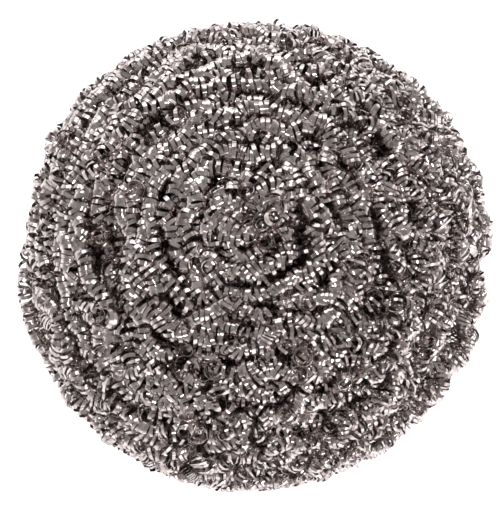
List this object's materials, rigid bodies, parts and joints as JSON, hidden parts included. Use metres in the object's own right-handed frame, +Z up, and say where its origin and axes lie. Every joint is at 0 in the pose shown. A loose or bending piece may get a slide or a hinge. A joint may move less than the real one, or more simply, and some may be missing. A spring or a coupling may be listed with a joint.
{
  "type": "soldering tip cleaning wool",
  "caption": "Round, flattened wad of springy coiled metal ribbon, wound in concentric rows, for wiping solder and oxide off a hot iron tip.",
  "frame": {"origin": "middle of the underside, on the surface that the wad lies on", "axes": "+Z up along the axis that the strands are wound round; +X and +Y lie in the wad's plane"},
  "size_m": [0.065, 0.065, 0.034],
  "materials": {
    "ribbon_steel": "bright rolled ribbon, glossy, with fine drawing lines"
  },
  "bodies": {
    "root": {"base_core_strand": "ribbon_steel", "base_strand_1": "ribbon_steel", "base_strand_2": "ribbon_steel", "lower_core_strand": "ribbon_steel", "lower_strand_1": "ribbon_steel", "lower_strand_2": "ribbon_steel", "lower_strand_3": "ribbon_steel", "lower_strand_4": "ribbon_steel", "low_mid_strand_1": "ribbon_steel", "low_mid_strand_2": "ribbon_steel", "low_mid_strand_3": "ribbon_steel", "low_mid_strand_4": "ribbon_steel", "low_mid_strand_5": "ribbon_steel", "middle_core_strand": "ribbon_steel", "middle_strand_1": "ribbon_steel", "middle_strand_2": "ribbon_steel", "middle_strand_3": "ribbon_steel", "middle_strand_4": "ribbon_steel", "middle_strand_5": "ribbon_steel", "high_mid_strand_1": "ribbon_steel", "high_mid_strand_2": "ribbon_steel", "high_mid_strand_3": "ribbon_steel", "high_mid_strand_4": "ribbon_steel", "high_mid_strand_5": "ribbon_steel", "upper_core_strand": "ribbon_steel", "upper_strand_1": "ribbon_steel", "upper_strand_2": "ribbon_steel", "upper_strand_3": "ribbon_steel", "upper_strand_4": "ribbon_steel", "top_core_strand": "ribbon_steel", "top_strand_1": "ribbon_steel", "top_strand_2": "ribbon_steel"}
  },
  "joints": []
}
